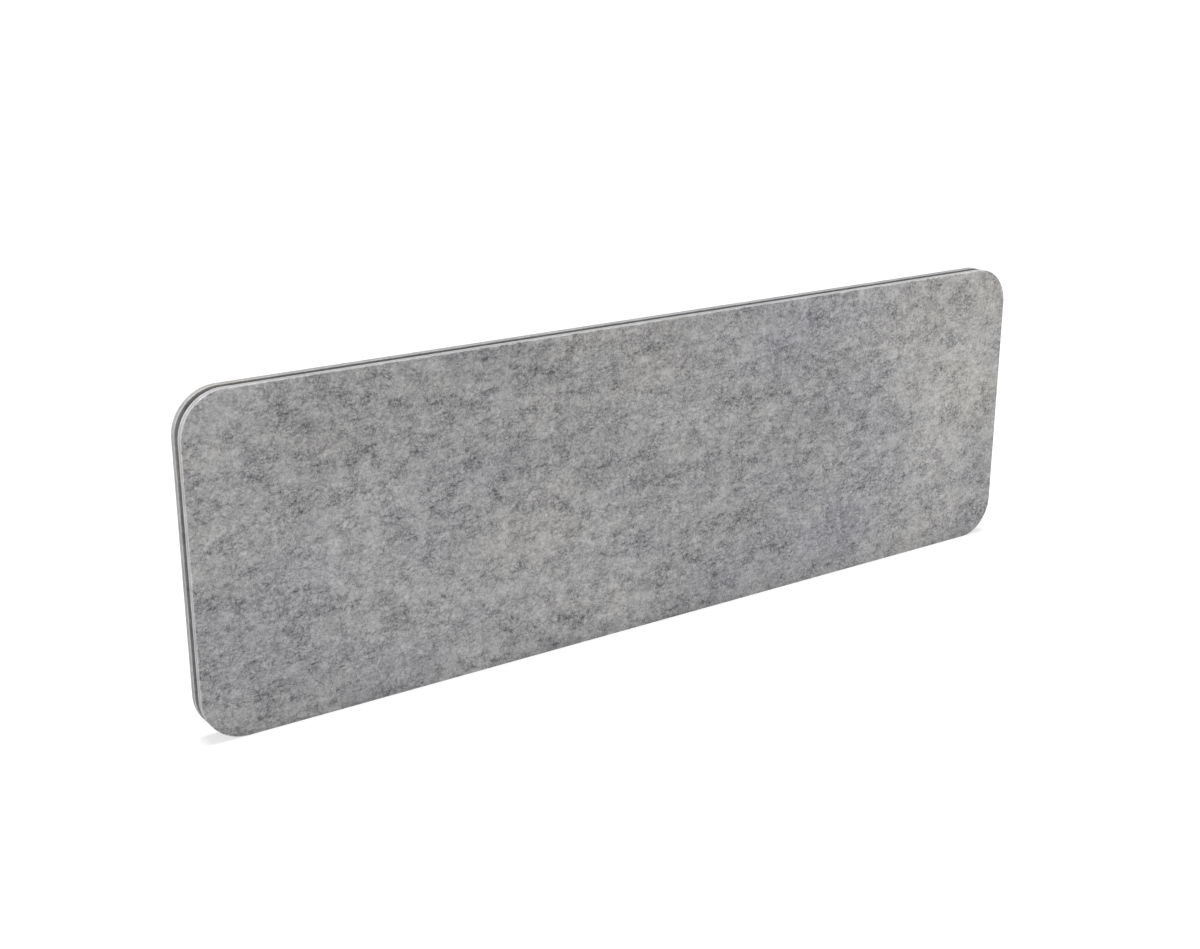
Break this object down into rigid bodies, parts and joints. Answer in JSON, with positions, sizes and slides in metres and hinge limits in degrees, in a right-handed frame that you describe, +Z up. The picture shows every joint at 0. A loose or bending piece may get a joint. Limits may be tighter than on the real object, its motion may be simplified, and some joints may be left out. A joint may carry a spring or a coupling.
{
  "type": "acoustic divider screen",
  "caption": "Low, wide desk divider: two round-cornered sheets of mottled pressed felt bonded to a slim recessed metal frame, with an even groove between them.",
  "frame": {"origin": "middle of the bottom edge, half way through the thickness", "axes": "+X along the screen, +Y from the front sheet to the rear sheet, +Z up"},
  "size_m": [1.18, 0.027, 0.38],
  "materials": {
    "felt": "matte",
    "wadding": "matte",
    "frame_aluminium": "satin",
    "rivet_aluminium": "satin",
    "bonding_tape": "matte"
  },
  "bodies": {
    "root": {"front_felt_sheet": "felt", "rear_felt_sheet": "felt", "left_wadding_pad": "wadding", "middle_wadding_pad": "wadding", "right_wadding_pad": "wadding", "top_rail": "frame_aluminium", "bottom_rail": "frame_aluminium", "left_stile": "frame_aluminium", "right_stile": "frame_aluminium", "left_post": "frame_aluminium", "right_post": "frame_aluminium", "top_left_corner_plate": "frame_aluminium", "top_right_corner_plate": "frame_aluminium", "bottom_left_corner_plate": "frame_aluminium", "bottom_right_corner_plate": "frame_aluminium", "corner_rivets": "rivet_aluminium", "post_rivets": "rivet_aluminium", "front_tape_top": "bonding_tape", "front_tape_bottom": "bonding_tape", "front_tape_left": "bonding_tape", "front_tape_right": "bonding_tape", "front_tape_left_post": "bonding_tape", "front_tape_right_post": "bonding_tape", "rear_tape_top": "bonding_tape", "rear_tape_bottom": "bonding_tape", "rear_tape_left": "bonding_tape", "rear_tape_right": "bonding_tape", "rear_tape_left_post": "bonding_tape", "rear_tape_right_post": "bonding_tape"}
  },
  "joints": []
}
